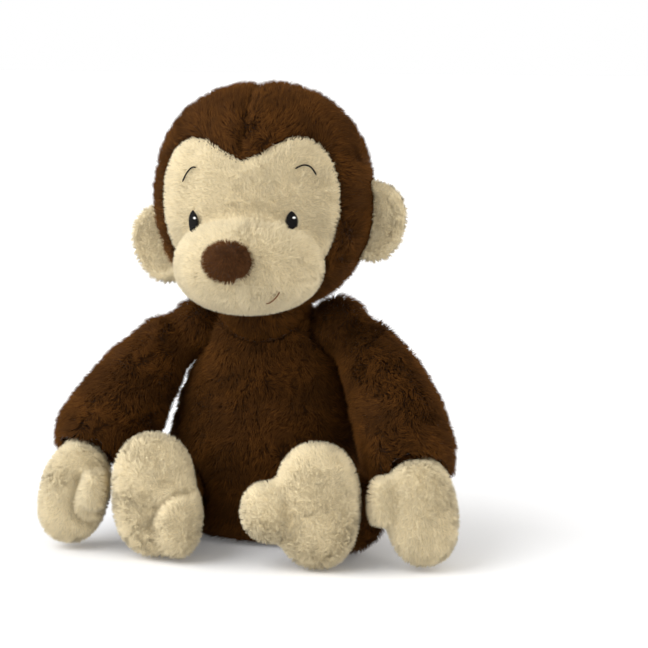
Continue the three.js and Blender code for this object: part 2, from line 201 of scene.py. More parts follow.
# ---- constants: embroidery and tape --------------------------------------------------------------
THREAD_SIDES = 6
THREAD_END = 0.35  # of its radius, where a thread goes through the cloth
OFF_ROUTE = (0.11, 0.37, 0.92)  # a direction that no thread runs along
STITCH_STEPS = 4  # steps of the route under one stem stitch
LINE_STEPS = 25
LINE_END_POINTS = 8
LINE_MIDDLE_MM = 1.5
LINE_BARE_MM = 1.5
BROW_MM = 0.5  # the radius of its thread, as with the mouth and the eye
BROW_LIFT_MM = 0.9
MOUTH_MM = 0.42
MOUTH_LIFT_MM = 0.8
EYE_THREAD_MM = 0.3
EYE_WIDE = 1.05  # of the CAD shape, because the pile leans over its edge
EYE_TALL = 1.28
EYE_BASE_MM = 0.9
EYE_DOME_MM = 0.9
EYE_DOME_FALL = 0.6  # how fast the dome falls away up and down
EYE_ROW_POINTS = 9
EYE_ROW_SPACING = 1.3  # in radii of the thread
EYE_BARE_TALL = 1.1
EYE_BARE_MARGIN = 0.2  # of the eye's half width
EYE_BARE_DEPTH = 0.02  # metres, behind the eye's middle
DROP_POWER = 0.75  # this and the next shape the eye's pointed top
DROP_BULGE = 0.6
# the glint's place and size as shares of the eye's half size
GLINT_ROWS = 4
GLINT_UP = 0.36
GLINT_ASIDE = 0.36
GLINT_TALL = 0.07
GLINT_WIDTH = 0.27
GLINT_ROUND = 1.3  # above 1, so that the outer rows keep some width
GLINT_WIDEST = 1.14  # about the root of GLINT_ROUND: the middle of the glint is GLINT_WIDTH wide
GLINT_LIFT_MM = 0.35
TAPE_HALF_GAP_MM = 0.25
TAPE_STEPS = 12
TAPE_ROWS = 7
TAPE_WAVE_MM = 0.5
TAPE_WAVE_TURN = 2.4
TAPE_THICKNESS_MM = 0.25

# ---- constants: brushing -------------------------------------------------------------------------
FACE_MIDDLE = (0.0016, 0, 0.195)
LIMB_BRUSHING = {  # outward from the toy's middle, then y and z
    "arm": (0.35, -0.4, -0.85),
    "hand": (0, 0, -0.8),
    "leg": (0.3, -0.8, -0.4),
    "foot": (0, 0, 0.5),
    "ear": (0.6, -0.3, 0),
}

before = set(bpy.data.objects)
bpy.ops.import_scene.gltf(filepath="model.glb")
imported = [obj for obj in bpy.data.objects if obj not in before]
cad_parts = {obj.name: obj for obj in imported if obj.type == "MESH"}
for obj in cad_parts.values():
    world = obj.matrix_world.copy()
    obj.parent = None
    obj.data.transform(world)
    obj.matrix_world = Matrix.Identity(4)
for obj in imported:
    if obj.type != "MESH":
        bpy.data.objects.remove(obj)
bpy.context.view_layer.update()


# ---- camera, floor and light ---------------------------------------------------------------------
def direction_from(azimuth, elevation):
    """Unit vector towards a viewer or a light; azimuth 0 is in front, positive to the toy's left."""
    azimuth, elevation = math.radians(azimuth), math.radians(elevation)
    return Vector((
        math.sin(azimuth) * math.cos(elevation),
        -math.cos(azimuth) * math.cos(elevation),
        math.sin(elevation),
    ))


def link(thing):
    bpy.context.scene.collection.objects.link(thing)
    return thing


def add_camera():
    away = direction_from(CAMERA["azimuth"], CAMERA["elevation"])
    camera = link(bpy.data.objects.new("camera", bpy.data.cameras.new("camera")))
    camera.data.lens = CAMERA["lens"]
    camera.data.clip_end = 4 * FLOOR_HALF
    facing = (-away).to_track_quat("-Z", "Y").to_matrix()
    turned = facing @ Matrix.Rotation(-AIM_RIGHT, 3, "Y") @ Matrix.Rotation(AIM_UP, 3, "X")
    place = Vector((0, 0, CAMERA["look_height"])) + away * CAMERA["distance"]
    camera.matrix_world = Matrix.Translation(place) @ turned.to_4x4()
    bpy.context.scene.camera = camera


def add_world():
    """Plain white to look at, and a dimmer even light on the toy."""
    world = bpy.data.worlds.new("studio")
    world.use_nodes = True
    tree = world.node_tree
    background = tree.nodes["Background"]
    background.inputs["Color"].default_value = (1, 1, 1, 1)
    rays = tree.nodes.new("ShaderNodeLightPath")
    strength = tree.nodes.new("ShaderNodeMapRange")
    strength.inputs["To Min"].default_value = WORLD_LIGHT
    strength.inputs["To Max"].default_value = 1.0
    tree.links.new(rays.outputs["Is Camera Ray"], strength.inputs["Value"])
    tree.links.new(strength.outputs["Result"], background.inputs["Strength"])
    bpy.context.scene.world = world
    bpy.context.scene.view_settings.view_transform = "Standard"


def add_sun(name, azimuth, elevation, strength, spread, color):
    light = bpy.data.lights.new(name, "SUN")
    light.energy = strength
    light.angle = math.radians(spread)
    light.color = color
    sun = link(bpy.data.objects.new(name, light))
    away = direction_from(azimuth, elevation)
    sun.rotation_euler = away.to_track_quat("Z", "Y").to_euler()


def add_floor():
    half = FLOOR_HALF
    corners = [(-half, -half, 0), (half, -half, 0), (half, half, 0), (-half, half, 0)]
    mesh = bpy.data.meshes.new("floor")
    mesh.from_pydata(corners, [], [(0, 1, 2, 3)])
    material, shader = new_material("floor_paper", FLOOR_COLOR, FLOOR_ROUGHNESS)
    shader.inputs["Specular IOR Level"].default_value = FLOOR_SPECULAR
    shader.inputs["Emission Color"].default_value = (1, 1, 1, 1)
    shader.inputs["Emission Strength"].default_value = FLOOR_GLOW
    mesh.materials.append(material)
    link(bpy.data.objects.new("floor", mesh))


# ---- materials -------------------------------------------------------------------------------
def new_material(name, color, roughness):
    material = bpy.data.materials.new(name)
    material.use_nodes = True
    shader = material.node_tree.nodes["Principled BSDF"]
    shader.inputs["Base Color"].default_value = (*color, 1)
    shader.inputs["Roughness"].default_value = roughness
    material.diffuse_color = (*color, 1)
    return material, shader


def shade(color, factor):
    return tuple(part * factor for part in color)


def cloth_material(
    name, color, dark, light, grain_mm, bump_mm, roughness=CLOTH_ROUGHNESS, sheen=CLOTH_SHEEN
):
    """Cloth or thread: two shades mixed by a fine and a broad noise, with a fibrous bump."""
    dark_color, light_color = shade(color, dark), shade(color, light)
    material, shader = new_material(name, light_color, roughness)
    tree = material.node_tree
    place = tree.nodes.new("ShaderNodeTexCoord")
    fine = tree.nodes.new("ShaderNodeTexNoise")
    fine.inputs["Scale"].default_value = 1 / (grain_mm * MM)
    fine.inputs["Detail"].default_value = FINE_DETAIL
    broad = tree.nodes.new("ShaderNodeTexNoise")
    broad.inputs["Scale"].default_value = 1 / (BROAD_NOISE_MM * MM)
    mix = tree.nodes.new("ShaderNodeMath")
    mix.operation = "MULTIPLY_ADD"
    mix.inputs[1].default_value = FINE_SHARE
    shades = tree.nodes.new("ShaderNodeValToRGB")
    shades.color_ramp.elements[0].position = DARK_UP_TO
    shades.color_ramp.elements[0].color = (*dark_color, 1)
    shades.color_ramp.elements[1].position = 1.0
    shades.color_ramp.elements[1].color = (*light_color, 1)
    bump = tree.nodes.new("ShaderNodeBump")
    bump.inputs["Distance"].default_value = bump_mm * MM
    tree.links.new(place.outputs["Object"], fine.inputs["Vector"])
    tree.links.new(place.outputs["Object"], broad.inputs["Vector"])
    tree.links.new(fine.outputs["Fac"], mix.inputs[0])
    tree.links.new(broad.outputs["Fac"], mix.inputs[2])
    tree.links.new(mix.outputs[0], shades.inputs["Fac"])
    tree.links.new(shades.outputs["Color"], shader.inputs["Base Color"])
    tree.links.new(fine.outputs["Fac"], bump.inputs["Height"])
    tree.links.new(bump.outputs["Normal"], shader.inputs["Normal"])
    shader.inputs["Sheen Weight"].default_value = sheen
    shader.inputs["Specular IOR Level"].default_value = CLOTH_SPECULAR
    return material


def pile_material(name, color, sheen):
    """One shade of the pile. A strand is too thin for a pattern: the pattern is the mix of shades."""
    material, shader = new_material(name, color, PILE_ROUGHNESS)
    shader.inputs["Specular IOR Level"].default_value = PILE_SPECULAR
    shader.inputs["Sheen Weight"].default_value = sheen
    shader.inputs["Sheen Roughness"].default_value = PILE_SHEEN_ROUGHNESS
    tint = [min(1.0, part * PILE_SHEEN_GAIN) for part in color]
    shader.inputs["Sheen Tint"].default_value = (*tint, 1)
    return material


PILES = {
    kind: [
        pile_material(f"{kind}_pile_{name}", shade(COLORS[kind], share), SHEEN[kind])
        for name, share in zip(SHADE_NAMES, PILE_SHADES[kind])
    ]
    for kind in COLORS
}
# cloth under the pile, darker than its strands: painted shade at the bottom of the pile
CLOTHS = {kind: cloth_material(f"{kind}_backing", COLORS[kind], **look) for kind, look in BACKINGS.items()}


def coat_of(node):
    if node.startswith("nose"):
        return "nose"
    if node.startswith(("face", "muzzle", "ear", "hand", "foot")):
        return "beige"
    return "brown"


# ---- panels: which sewn panel a point of the surface belongs to ----------------------------------
def triangles_of(mesh):
    mesh.calc_loop_triangles()
    corners = np.empty(len(mesh.loop_triangles) * 3, np.int32)
    mesh.loop_triangles.foreach_get("vertices", corners)
    return corners.reshape(-1, 3)


def points_of(mesh):
    points = np.empty(len(mesh.vertices) * 3, np.float32)
    mesh.vertices.foreach_get("co", points)
    return points.reshape(-1, 3)


def normals_of(mesh):
    normals = np.empty(len(mesh.vertices) * 3, np.float32)
    mesh.vertices.foreach_get("normal", normals)
    return normals.reshape(-1, 3)


def pairs_of(mesh):
    pairs = np.empty(len(mesh.edges) * 2, np.int32)
    mesh.edges.foreach_get("vertices", pairs)
    return pairs.reshape(-1, 2)


class Panels:
    """The surfaces of some CAD nodes, as one surface that knows which node each face came from."""

    def __init__(self, nodes):
        self.nodes = nodes
        self.coats = [coat_of(node) for node in nodes]
        points, faces, owners, start = [], [], [], 0
        for index, node in enumerate(nodes):
            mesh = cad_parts[node].data
            own_faces = triangles_of(mesh)
            points.append(points_of(mesh))
            faces.append(own_faces + start)
            owners += [index] * len(own_faces)
            start += len(mesh.vertices)
        self.points, self.faces, self.owners = np.concatenate(points), np.concatenate(faces), owners
        self.tree = BVHTree.FromPolygons(self.points.tolist(), self.faces.tolist())

    def at(self, places):
        """Which node each place is nearest to, as its index."""
        return np.array([self.owners[self.tree.find_nearest(place)[2]] for place in places.tolist()], int)

    def in_front_of(self, x, z):
        """The point of the surface, and its normal, that a viewer in front sees at x, z.
        A look through the gap of a seam moves a little up or down, to the panel beside it."""
        for nudge in LOOK_NUDGES_MM:
            start = Vector((x, LOOK_FROM_Y, z + nudge * MM))
            place, normal, _, _ = self.tree.ray_cast(start, Vector((0, 1, 0)))
            if place:
                return place, normal
        return None, None


# ---- stuffed skins -------------------------------------------------------------------------------
def mesh_object(name, points, faces):
    mesh = bpy.data.meshes.new(name)
    mesh.from_pydata(points.tolist(), [], faces.tolist())
    mesh.update()
    return link(bpy.data.objects.new(name, mesh))


def bake_modifiers(piece):
    """Replaces the piece's mesh by what its modifiers make of it."""
    graph = bpy.context.evaluated_depsgraph_get()
    made = bpy.data.meshes.new_from_object(piece.evaluated_get(graph))
    piece.modifiers.clear()
    piece.data = made


def nearest(points, targets):
    """(which target is nearest, how far it is) for each point."""
    if not len(targets):
        return np.zeros(len(points), int), np.full(len(points), NOTHING_NEAR)
    tree = KDTree(len(targets))
    for index, target in enumerate(targets.tolist()):
        tree.insert(target, index)
    tree.balance()
    found = [tree.find(point) for point in points.tolist()]
    return np.array([hit[1] for hit in found]), np.array([hit[2] for hit in found])


class Skin:
    """A stuffed skin over the CAD solids of one body: its object, its panels and its seams."""

    def __init__(self, name, outer, hidden=(), body=None, voxel_mm=2.5, rounds=8, sink=True, stitches=()):
        self.name, self.body, self.hidden, self.sink = name, body or name, list(hidden), sink
        self.panels = Panels(list(outer))
        self.piece = self.rounded(voxel_mm, rounds)
        points = points_of(self.piece.data)
        self.vertex_panel = self.panels.at(points)
        seam_points, depths = self.seams(points)
        seam_points = np.concatenate([seam_points, np.array(stitches).reshape(-1, 3)])
        depths = np.concatenate([depths, np.full(len(stitches), STITCH_DEPTH)])
        which, self.seam_distance = nearest(points, seam_points)
        near = np.exp(-((self.seam_distance / (CREASE_WIDTH_MM * MM)) ** 2))
        self.crease = near * (depths[which] if len(depths) else 0.0) * MM

    def seams(self, points):
        """Where two panels meet: (points, depth of the seam at each)."""
        pairs = pairs_of(self.piece.data)
        sides = self.vertex_panel[pairs]
        met = sides[:, 0] != sides[:, 1]
        coats = self.panels.coats
        depths = [SEAM_DEPTH[tuple(sorted((coats[a], coats[b])))] for a, b in sides[met]]
        return points[pairs[met]].mean(1).reshape(-1, 3), np.array(depths)

    def rounded(self, voxel_mm, rounds):
        """One smooth closed surface around the CAD solids, which touch each other."""
        solids = Panels(self.panels.nodes + self.hidden)
        piece = mesh_object(f"{self.name}_skin", solids.points, solids.faces)
        remesh = piece.modifiers.new("remesh", "REMESH")
        remesh.mode = "VOXEL"
        remesh.voxel_size = voxel_mm * MM
        smooth = piece.modifiers.new("smooth", "SMOOTH")
        smooth.factor = SMOOTH_FACTOR
        smooth.iterations = rounds
        bake_modifiers(piece)
        return piece

    def add_cloth(self):
        """Air pressure inside the skin, with the seams held, so that the panels crown between them."""
        held = self.piece.vertex_groups.new(name="seams")
        for index, distance in enumerate(self.seam_distance.tolist()):
            held.add([index], math.exp(-((distance / (CREASE_WIDTH_MM * MM)) ** 2)), "REPLACE")
        cloth = self.piece.modifiers.new("cloth", "CLOTH")
        cloth.settings.use_pressure = True
        cloth.settings.uniform_pressure_force = CLOTH_PRESSURE
        cloth.settings.vertex_group_mass = "seams"
        cloth.settings.effector_weights.gravity = 0
        cloth.point_cache.frame_end = CLOTH_FRAMES

    def keep_cloth(self):
        """Keeps what the simulation did, but moves no point further than the cap."""
        before = points_of(self.piece.data)
        bake_modifiers(self.piece)
        moved = points_of(self.piece.data) - before
        far = np.linalg.norm(moved, axis=1)
        share = np.minimum(1.0, CLOTH_CAP_MM * MM / np.maximum(far, TINY))
        self.set_points(before + moved * share[:, None])
        self.piece.vertex_groups.clear()

    def set_points(self, points):
        self.piece.data.vertices.foreach_set("co", points.astype(np.float32).ravel())
        self.piece.data.update()

    def sew(self, folds=()):
        """Sinks the skin from the pile's surface to its backing, and draws it in along its seams."""
        mesh = self.piece.data
        points, normals, pairs = points_of(mesh), normals_of(mesh), pairs_of(mesh)
        depth = np.array([SINK[coat] for coat in self.panels.coats])[self.vertex_panel] * MM
        depth = evened(depth, pairs, SINK_BLEND_ROUNDS) * self.sink + self.crease
        for fold in folds:
            depth += fold(points)
        self.set_points(points - normals * depth[:, None])
        kinds = sorted(set(self.panels.coats))
        for kind in kinds:
            mesh.materials.append(CLOTHS[kind])
        kind_of_panel = [kinds.index(coat) for coat in self.panels.coats]
        slots = [kind_of_panel[self.vertex_panel[face.vertices[0]]] for face in mesh.polygons]
        mesh.polygons.foreach_set("material_index", slots)
        mesh.polygons.foreach_set("use_smooth", [True] * len(mesh.polygons))
        mesh.update()

    def declare(self):
        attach(self.piece, self.body)
        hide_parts(*self.panels.nodes, *self.hidden)


def evened(values, pairs, rounds):
    """Spreads a value over neighbouring vertices."""
    for _ in range(rounds):
        total, count = values.copy(), np.ones(len(values))
        np.add.at(total, pairs[:, 0], values[pairs[:, 1]])
        np.add.at(total, pairs[:, 1], values[pairs[:, 0]])
        np.add.at(count, pairs.ravel(), 1)
        values = total / count
    return values


def puff(skins):
    for skin in skins:
        skin.add_cloth()
    for number in range(1, CLOTH_FRAMES + 1):
        bpy.context.scene.frame_set(number)
    for skin in skins:
        skin.keep_cloth()
    bpy.context.scene.frame_set(1)


# ---- pile --------------------------------------------------------------------------------------
class Waves:
    """A smooth random field: a few sine waves in fixed random directions."""

    def __init__(self, seed, size_mm):
        chance = np.random.default_rng(seed)
        ways = chance.normal(size=(WAVE_COUNT, 3))
        ways /= np.linalg.norm(ways, axis=1)[:, None]
        self.ways = ways * (2 * math.pi / (size_mm * MM)) * chance.uniform(*WAVE_RATES, (WAVE_COUNT, 1))
        self.starts = chance.uniform(0, 2 * math.pi, WAVE_COUNT)

    def at(self, places):
        return np.sin(places @ self.ways.T + self.starts).sum(1) / math.sqrt(WAVE_COUNT)


def three_waves(seed, size_mm, places):
    """A smooth random vector at each place."""
    return np.stack([Waves(seed + axis, size_mm).at(places) for axis in range(3)], 1)


def unit(vectors):
    return vectors / np.maximum(np.linalg.norm(vectors, axis=1), TINY)[:, None]


def flattened(vectors, normals):
    """The part of each vector that lies along the surface."""
    return vectors - normals * (vectors * normals).sum(1)[:, None]


def varied(chance, count, least, spread):
    return least + spread * chance.random(count)


def blended(values, corners, weights):
    """Values at the corners of triangles, mixed by weights."""
    shaped = values[corners]
    return (shaped * (weights if shaped.ndim == 2 else weights[:, :, None])).sum(1)


def sown(skin, chance):
    """Random roots on a skin: (points, normals, panel of each, distance to the nearest seam)."""
    mesh = skin.piece.data
    points, normals, triangles = points_of(mesh), normals_of(mesh), triangles_of(mesh)
    a, b, c = (points[triangles[:, k]] for k in range(3))
    areas = np.linalg.norm(np.cross(b - a, c - a), axis=1) / 2
    density = np.array([COATS[coat]["density"] for coat in skin.panels.coats])
    corner_panels = skin.vertex_panel[triangles]
    needed = areas * density[corner_panels].mean(1)
    count = int(needed.sum() / MM**2)
    picked = np.sort(chance.choice(len(triangles), count, p=needed / needed.sum()))
    u, v = chance.random(count), chance.random(count)
    over = u + v > 1
    u[over], v[over] = 1 - u[over], 1 - v[over]
    weights = np.stack([1 - u - v, u, v], 1)
    corners = triangles[picked]
    roots = blended(points, corners, weights)
    panel = corner_panels[picked, 0].copy()
    mixed = (corner_panels[picked] != panel[:, None]).any(1)
    panel[mixed] = skin.panels.at(roots[mixed])
    seams = blended(skin.seam_distance, corners, weights)
    return roots, unit(blended(normals, corners, weights)), panel, seams


def clump_centres(places, size, seed):
    """Each place's clump: a jittered point in its own cell of a warped grid, and a chance value."""
    warp = three_waves(seed + WARP_SEED, WARP_CELLS * size / MM, places) * size * WARP_SHARE
    cells = np.floor((places + warp) / size).astype(np.int64)
    hashed = cells * np.array(HASH_FACTORS)
    mix = hashed[:, 0] ^ hashed[:, 1] ^ hashed[:, 2] ^ seed
    jitter = np.stack([(mix * factor % JITTER_STEPS) / JITTER_STEPS for factor in JITTER_FACTORS], 1)
    centres = (cells + CELL_EDGE + (1 - 2 * CELL_EDGE) * jitter) * size - warp
    return centres, (mix * CHANCE_FACTOR % CHANCE_STEPS) / CHANCE_STEPS


def strand_ways(roots, normals, comb, coat, seed, chance):
    """The direction in which each strand stands: brushed along the surface, swirled and ruffled."""
    count = len(roots)
    swirl = three_waves(seed + SWIRL_SEED, SWIRL_MM, roots)
    ruffle = three_waves(seed + RUFFLE_SEED, RUFFLE_MM, roots)
    along = unit(flattened(comb + (swirl + RUFFLE_SHARE * ruffle) * coat["swirl"], normals))
    lean = math.radians(coat["lean"]) * (1 + LEAN_WAVE * Waves(seed + LEAN_SEED, LEAN_WAVE_MM).at(roots))
    lean = lean[:, None] + chance.normal(0, LEAN_CHANCE, (count, 1))
    stray = chance.normal(0, STRAY_CHANCE, (count, 3))
    return unit(normals * np.cos(lean) + along * np.sin(lean) + stray)


def strand_shapes(roots, normals, comb, seams, coat, seed, chance):
    """(tips, half widths, shade 0 to 2) of the strands that stand at roots."""
    count = len(roots)
    way = strand_ways(roots, normals, comb, coat, seed, chance)
    trapped = 1 - TRAPPED_SHARE * np.exp(-((seams / (TRAPPED_MM * MM)) ** 2))
    length = coat["length"] * MM * varied(chance, count, *LENGTH_VARIES) * trapped
    tips = roots + way * length[:, None]
    centres, clump_chance = clump_centres(roots, coat["clump"] * MM, seed)
    pull = coat["gather"] * (GATHER_LEAST + GATHER_SPREAD * clump_chance)
    tips = tips + flattened(centres - roots, normals) * pull[:, None]
    tips[:, 2] = np.maximum(tips[:, 2], FLOOR_CLEARANCE_MM * MM)
    patches = TONE_WAVE * Waves(seed + TONE_SEED, TONE_WAVE_MM).at(roots)
    tone = TONE_CLUMP * clump_chance + TONE_BASE + patches + chance.normal(0, TONE_CHANCE, count)
    widths = coat["width"] * MM / 2 * varied(chance, count, *WIDTH_VARIES)
    return tips, widths, np.digitize(tone, TONE_STEPS)


def strand_pattern(sections):
    """The faces of one strand: its root, the sides of its lower sections, then its point."""
    sides = STRAND_SIDES
    pattern = [tuple(reversed(range(sides)))]
    for ring in range(sections - 1):
        for turn in range(sides):
            a = ring * sides + turn
            b = ring * sides + (turn + 1) % sides
            pattern.append((a, b, b + sides, a + sides))
    top, tip = (sections - 1) * sides, sections * sides
    return pattern + [(top + turn, top + (turn + 1) % sides, tip) for turn in range(sides)]


def strand_mesh(name, roots, normals, tips, widths, shades, sections, materials):
    """Closed three-sided strands that taper to a point, one of three shades over a root painted darker as
    the shade deep in the pile.
    """
    count = len(roots)
    axis = unit(tips - roots)
    side = unit(np.cross(axis, normals + np.array(OFF_AXIS)))
    over = np.cross(axis, side)
    bend = roots + normals * np.linalg.norm(tips - roots, axis=1)[:, None] * STRAND_BEND
    bend[:, 2] = np.maximum(bend[:, 2], FLOOR_CLEARANCE_MM * MM)
    layers = []
    for ring in range(sections):
        share = ring / sections
        centre = (1 - share) ** 2 * roots + 2 * share * (1 - share) * bend + share**2 * tips
        reach = widths[:, None] * (1 - STRAND_TAPER * share)
        for turn in range(STRAND_SIDES):
            angle = 2 * math.pi * turn / STRAND_SIDES
            layers.append(centre + (side * math.cos(angle) + over * math.sin(angle)) * reach)
    layers.append(tips)
    each = len(layers)
    pattern = strand_pattern(sections)
    # the root and lower sections take the root shade: painted shade deep in the pile
    painted_shade_at_root = np.arange(len(pattern)) < len(pattern) - STRAND_SIDES
    points = np.stack(layers, 1).reshape(-1, 3)
    slots = np.where(painted_shade_at_root[None, :], 0, shades[:, None] + 1).ravel()
    mesh = raw_mesh(name, points, pattern, each, count, slots, materials)
    middles = np.repeat(points.reshape(-1, each, 3).mean(1), each, 0)
    soft = unit(np.repeat(normals, each, 0) * NORMAL_SKIN_SHARE + unit(points - middles) * NORMAL_OWN_SHARE)
    mesh.normals_split_custom_set_from_vertices(soft)
    return mesh


def raw_mesh(name, points, pattern, each, count, slots, materials):
    """A mesh of many copies of one pattern of faces, on count groups of each points."""
    starts = np.arange(count) * each
    loops = np.concatenate([np.array(face)[None, :] + starts[:, None] for face in pattern], 1)
    sizes = np.tile([len(face) for face in pattern], count)
    mesh = bpy.data.meshes.new(name)
    mesh.vertices.add(len(points))
    mesh.vertices.foreach_set("co", points.astype(np.float32).ravel())
    mesh.loops.add(loops.size)
    mesh.loops.foreach_set("vertex_index", loops.astype(np.int32).ravel())
    mesh.polygons.add(len(sizes))
    mesh.polygons.foreach_set("loop_start", (np.cumsum(sizes) - sizes).astype(np.int32))
    mesh.polygons.foreach_set("material_index", slots.astype(np.int32))
    mesh.polygons.foreach_set("use_smooth", np.ones(len(sizes), bool))
    for material in materials:
        mesh.materials.append(material)
    mesh.update(calc_edges=True)
    return mesh


def grow_pile(skin, comb_at, seed, bare=None):
    """Covers a skin with strands, in pieces that each belong to one sewn panel."""
    chance = np.random.default_rng(seed)
    roots, normals, panel, seams = sown(skin, chance)
    kept = np.ones(len(roots), bool) if bare is None else ~bare(roots)
    for index, node in enumerate(skin.panels.nodes):
        coat_name = skin.panels.coats[index]
        coat = COATS[coat_name]
        mine = np.flatnonzero(kept & (panel == index))
        pieces = max(1, math.ceil(len(mine) / STRANDS_A_PIECE[coat["sections"]]))
        for number, part in enumerate(np.array_split(mine, pieces)):
            if not len(part):
                continue
            comb = comb_at(roots[part])
            tips, widths, shades = strand_shapes(
                roots[part], normals[part], comb, seams[part], coat, seed, chance
            )
            name = f"{node}_pile_{number + 1}"
            mesh = strand_mesh(
                name, roots[part], normals[part], tips, widths, shades, coat["sections"], PILES[coat_name]
            )
            piece = link(bpy.data.objects.new(name, mesh))
            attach(piece, skin.body)


# ---- threads and tape ----------------------------------------------------------------------------
def tube(route, radii):
    """(points, faces) of a closed tube along a route, with a radius at each of its points."""
    sides = THREAD_SIDES
    ahead = unit(np.gradient(route, axis=0))
    side = unit(np.cross(ahead, OFF_ROUTE))
    over = np.cross(ahead, side)
    turns = np.arange(sides) * 2 * math.pi / sides
    around = side[:, None] * np.cos(turns)[None, :, None] + over[:, None] * np.sin(turns)[None, :, None]
    rings = route[:, None] + around * radii[:, None, None]
    last = (len(route) - 1) * sides
    start, end = len(route) * sides, len(route) * sides + 1
    faces = []
    for turn in range(sides):
        after = (turn + 1) % sides
        for ring in range(0, last, sides):
            faces.append((ring + turn, ring + after, ring + sides + after, ring + sides + turn))
        faces.append((start, after, turn))
        faces.append((end, last + turn, last + after))
    return np.concatenate([rings.reshape(-1, 3), route[[0, -1]]]), faces


def add_threads(name, routes, radius_mm, material, body, replaced):
    """Threads of one colour as one piece; each tapers where it goes through the cloth."""
    points, faces, start = [], [], 0
    for route in routes:
        share = np.linspace(0, 1, len(route))
        swell = np.sqrt(np.sin(math.pi * share).clip(0))
        radii = radius_mm * MM * (THREAD_END + (1 - THREAD_END) * swell)
        own_points, own_faces = tube(route, radii)
        points.append(own_points)
        faces += [tuple(corner + start for corner in face) for face in own_faces]
        start += len(own_points)
    mesh = bpy.data.meshes.new(name)
    mesh.from_pydata(np.concatenate(points).tolist(), [], faces)
    mesh.polygons.foreach_set("use_smooth", [True] * len(mesh.polygons))
    mesh.materials.append(material)
    mesh.update()
    piece = link(bpy.data.objects.new(name, mesh))
    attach(piece, body)
    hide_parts(*replaced)


def smooth_route(points, count):
    """A curve through three points, as many short steps."""
    first, middle, last = (np.array(point, float) for point in points)
    bend = 2 * middle - (first + last) / 2
    share = np.linspace(0, 1, count)[:, None]
    return (1 - share) ** 2 * first + 2 * share * (1 - share) * bend + share**2 * last


def on_surface(panels, route, lift_mm):
    """A flat route of (x, z), laid on the front of the panels, lift_mm proud of them."""
    laid = []
    for x, z in route:
        place, normal = panels.in_front_of(x, z)
        laid.append(place + normal * lift_mm * MM)
    return np.array(laid)


def stem_stitches(route):
    """Short stitches along a route, each starting beside the middle of the one before."""
    starts = range(0, len(route) - STITCH_STEPS, STITCH_STEPS // 2)
    return [route[start:start + STITCH_STEPS + 1] for start in starts]


# ---- ways the pile is brushed ---------------------------------------------------------------------
def brushed_along(x, y, z):
    return lambda places: np.tile([float(x), float(y), float(z)], (len(places), 1))


def brushed_from(centre, share=1.0, plus=(0.0, 0.0, 0.0)):
    """Away from a point, in the XZ plane, plus a constant."""
    centre = np.array(centre)

    def comb(places):
        away = places - centre
        away[:, 1] = 0
        return unit(away) * share + np.array(plus)

    return comb


# ---- the face's embroidery -------------------------------------------------------------------------
THREADS = {
    kind: cloth_material(f"{kind}_thread", grain_mm=THREAD_GRAIN_MM, bump_mm=THREAD_BUMP_MM, sheen=0, **look)
    for kind, look in THREAD_LOOKS.items()
}


def drop_width(up):
    """Half width of the teardrop at a height from -1, its round bottom, to 1, its pointed top."""
    return math.sqrt(1 - up * up) if up < 0 else (1 - up) ** DROP_POWER * (1 + DROP_BULGE * up)


def eye_frame(side):
    low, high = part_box(f"eye_{side}")
    half = (high - low) / 2
    return (low + high) / 2, half.x * EYE_WIDE, half.z * EYE_TALL


def eye_row(panels, side, up, reach, middle_shift=0.0, lift_mm=0.0):
    """One satin stitch across the eye, at a height from -1 to 1, domed in the middle."""
    middle, half_width, half_height = eye_frame(side)
    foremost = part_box(f"eye_{side}")[0].y  # the eye stays on the face where the muzzle swells over it
    route = []
    for share in np.linspace(-1, 1, EYE_ROW_POINTS):
        across = middle_shift + share * reach
        place, normal = panels.in_front_of(middle.x + across * half_width, middle.z + up * half_height)
        place.y = max(place.y, foremost)
        dome = EYE_DOME_MM * math.sqrt(max(0.0, 1 - across**2 - EYE_DOME_FALL * up**2))
        route.append(place + normal * (EYE_BASE_MM + dome + lift_mm) * MM)
    return np.array(route)


def add_eye(panels, side):
    _, _, half_height = eye_frame(side)
    rows = int(2 * half_height / (EYE_THREAD_MM * MM * EYE_ROW_SPACING))
    heights = [2 * (row + 0.5) / rows - 1 for row in range(rows)]
    black = [eye_row(panels, side, up, drop_width(up)) for up in heights]
    add_threads(
        f"eye_{side}_satin", black, EYE_THREAD_MM, THREADS["black"], "head",
        [f"eye_{side}"],
    )
    white = []
    for row in np.linspace(-1, 1, GLINT_ROWS):
        up = GLINT_UP + GLINT_TALL * row
        reach = GLINT_WIDTH * math.sqrt(GLINT_ROUND - row * row) / GLINT_WIDEST
        white.append(eye_row(panels, side, up, reach, GLINT_ASIDE, GLINT_LIFT_MM))
    add_threads(
        f"eye_glint_{side}_satin", white, EYE_THREAD_MM, THREADS["white"], "head",
        [f"eye_glint_{side}"],
    )


def line_of(node):
    """The middle of a thin CAD line, as three flat points (x, z) from one end to the other."""
    points = points_of(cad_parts[node].data)
    order = np.argsort(points[:, 0])
    first = points[order[:LINE_END_POINTS]].mean(0)
    last = points[order[-LINE_END_POINTS:]].mean(0)
    near = np.abs(points[:, 0] - (first[0] + last[0]) / 2) < LINE_MIDDLE_MM * MM
    middle = points[near].mean(0)
    return [(point[0], point[2]) for point in (first, middle, last)]


def add_line(panels, node, radius_mm, lift_mm, thread):
    """A line of stem stitch where the CAD has its thin solid; returns its route."""
    route = on_surface(panels, smooth_route(line_of(node), LINE_STEPS), lift_mm)
    add_threads(f"{node}_thread", stem_stitches(route), radius_mm, THREADS[thread], "head", [node])
    return route


